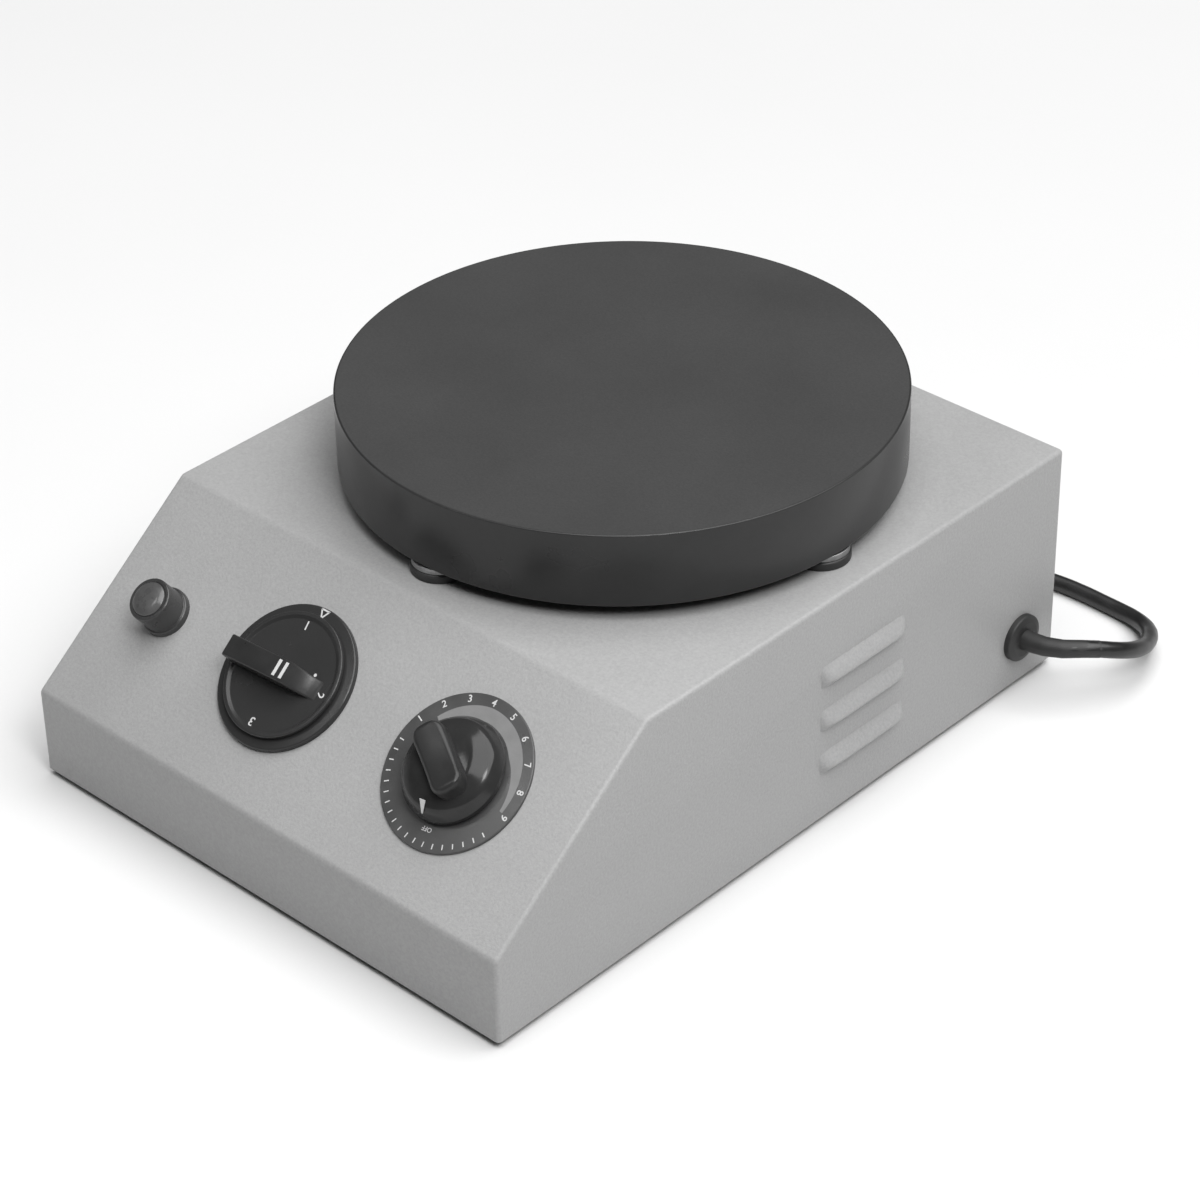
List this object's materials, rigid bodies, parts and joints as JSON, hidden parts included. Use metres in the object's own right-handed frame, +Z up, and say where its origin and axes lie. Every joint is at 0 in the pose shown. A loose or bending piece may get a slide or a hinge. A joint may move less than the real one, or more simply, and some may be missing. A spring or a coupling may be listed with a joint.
{
  "type": "magnetic stirrer",
  "caption": "Magnetic stirrer with a round heating plate on a low cabinet; sloped panel with lamp, heat control and speed control, and a mains cord.",
  "frame": {"origin": "on the floor, under the middle of the cabinet", "axes": "+X to the operator's right, -Y towards the operator, +Z up"},
  "size_m": [0.3287, 0.3888, 0.125],
  "materials": {
    "cabinet_paint": "satin powder coat",
    "plate_coating": "dark heat-resistant coat",
    "zinc_sheet": "zinc plated",
    "plated_steel": "plated",
    "bright_shaft": "ground",
    "aluminium": "plain",
    "lamination": "lacquered laminations",
    "copper_wire": "enamelled winding wire",
    "bronze": "sintered bronze",
    "contact_brass": "plated contact metal",
    "black_plastic": "matte",
    "gloss_black": "polished",
    "control_print": "dark dial coat",
    "lens_plastic": "translucent lens",
    "bulb_glass": "glow lamp",
    "rubber": "matte",
    "cord_sheath": "semi-matte sheath",
    "ceramic": "unglazed",
    "mineral_wool": "pressed fibre board",
    "element_sheath": "oxidised sheath",
    "pale_plastic": "moulded",
    "magnet": "plated magnet"
  },
  "bodies": {
    "base": {"cabinet": "cabinet_paint", "base_plate": "zinc_sheet", "base_tabs": "zinc_sheet", "base_screws": "plated_steel", "rubber_feet": "rubber", "foot_screws": "plated_steel", "foot_nuts": "plated_steel", "heating_plate": "plate_coating", "heating_element": "element_sheath", "element_terminals": "contact_brass", "terminal_bushes": "ceramic", "insulation_disc": "mineral_wool", "heat_shield": "aluminium", "shield_screw": "plated_steel", "standoff_collars": "black_plastic", "standoff_washers": "plated_steel", "plate_bolts": "plated_steel", "motor_bracket": "zinc_sheet", "bracket_nuts": "plated_steel", "motor_bushes": "rubber", "motor_stator": "lamination", "motor_windings": "copper_wire", "motor_end_bells": "aluminium", "motor_bearings": "bronze", "motor_bolts": "plated_steel", "motor_nuts": "plated_steel", "lamp_bezel": "gloss_black", "lamp_lens": "lens_plastic", "lamp_bulb": "bulb_glass", "lamp_nut": "plated_steel", "heat_escutcheon": "control_print", "heat_switch_body": "pale_plastic", "heat_switch_screws": "plated_steel", "speed_dial_plate": "control_print", "regulator_body": "black_plastic", "regulator_nut": "plated_steel", "terminal_block": "pale_plastic", "block_clamp_screws": "contact_brass", "cord_clamp_base": "black_plastic", "cord_clamp_bar": "black_plastic", "cord_clamp_screws": "plated_steel", "earth_screw": "contact_brass", "cord_inner_end": "cord_sheath", "cord_grommet": "rubber", "mains_cord": "cord_sheath", "cord_coil": "cord_sheath", "plug_cord": "cord_sheath", "coil_tie": "rubber", "plug_body": "black_plastic", "plug_pins": "contact_brass"},
    "heat_control": {"heat_knob": "control_print", "heat_switch_shaft": "bright_shaft"},
    "speed_control": {"speed_knob": "gloss_black", "regulator_shaft": "bright_shaft"},
    "rotor": {"rotor_core": "lamination", "motor_shaft": "bright_shaft", "cooling_fan": "black_plastic", "magnet_carrier": "aluminium", "stir_magnets": "magnet", "carrier_screw": "plated_steel"}
  },
  "joints": [
    {"name": "heat_turn", "type": "hinge", "parent": "base", "child": "heat_control", "pos_m": [-0.0205, -0.10787, 0.06424], "axis": [0, -0.6105, 0.792], "range_deg": [-90, 180]},
    {"name": "speed_turn", "type": "hinge", "parent": "base", "child": "speed_control", "pos_m": [0.0595, -0.10787, 0.06424], "axis": [0, -0.6105, 0.792], "range_deg": [-288, 0]},
    {"name": "rotor_spin", "type": "hinge", "parent": "base", "child": "rotor", "pos_m": [0, 0.036, 0.06], "axis": [0, 0, 1], "continuous": true}
  ]
}
